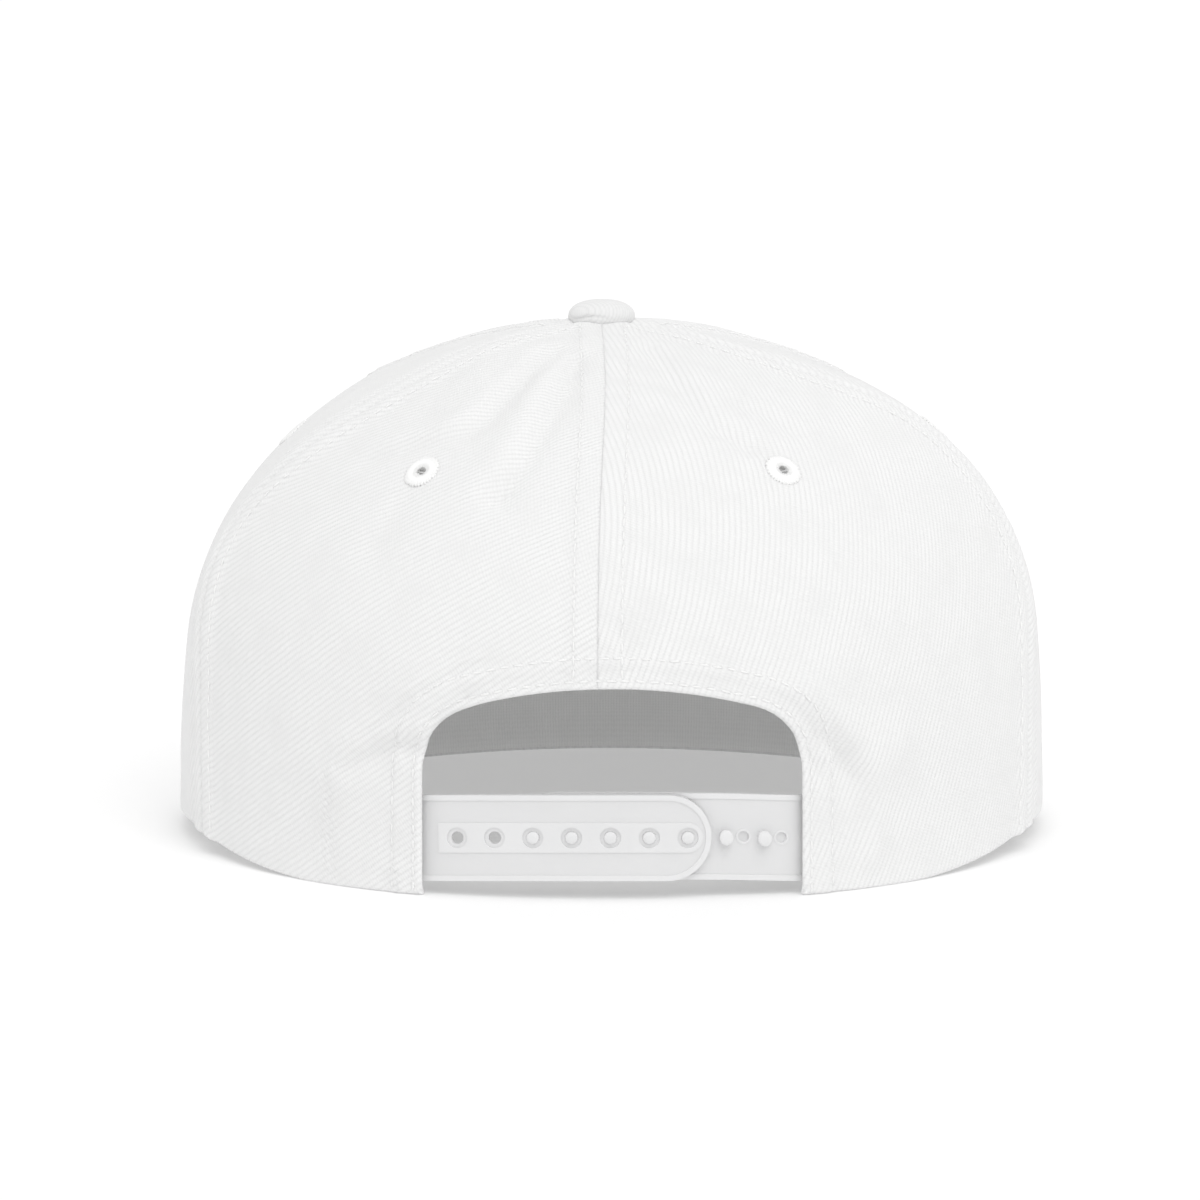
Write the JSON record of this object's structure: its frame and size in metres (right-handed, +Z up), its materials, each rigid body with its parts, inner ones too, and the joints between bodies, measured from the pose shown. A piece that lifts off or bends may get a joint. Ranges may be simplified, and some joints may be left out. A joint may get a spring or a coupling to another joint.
{
  "type": "snapback cap",
  "caption": "Panelled cotton twill cap with a flat visor, cloth-covered top button, sewn eyelets and an arched back opening closed by snap straps",
  "frame": {"origin": "middle of the cap's bounding box, on the table that it rests on", "axes": "+Z up; +Y towards the back of the cap, where the straps are; the visor points along -Y; +X is the wearer's left"},
  "size_m": [0.1928, 0.2566, 0.1173],
  "materials": {
    "twill": "white cotton twill, matt, with diagonal ribs about 1.3 mm apart",
    "thread": "white polyester sewing thread, soft sheen",
    "band": "plain white cotton sweatband, matt",
    "strap_plastic": "milky white moulded plastic, slightly see-through, satin"
  },
  "bodies": {
    "root": {"back_left_panel": "twill", "side_left_panel": "twill", "front_left_panel": "twill", "front_right_panel": "twill", "side_right_panel": "twill", "back_right_panel": "twill", "back_left_eyelet": "thread", "back_right_eyelet": "thread", "side_left_eyelet": "thread", "side_right_eyelet": "thread", "front_left_eyelet": "thread", "front_right_eyelet": "thread", "button": "twill", "visor": "twill", "sweatband": "band", "outer_strap": "strap_plastic", "inner_strap": "strap_plastic"}
  },
  "joints": []
}
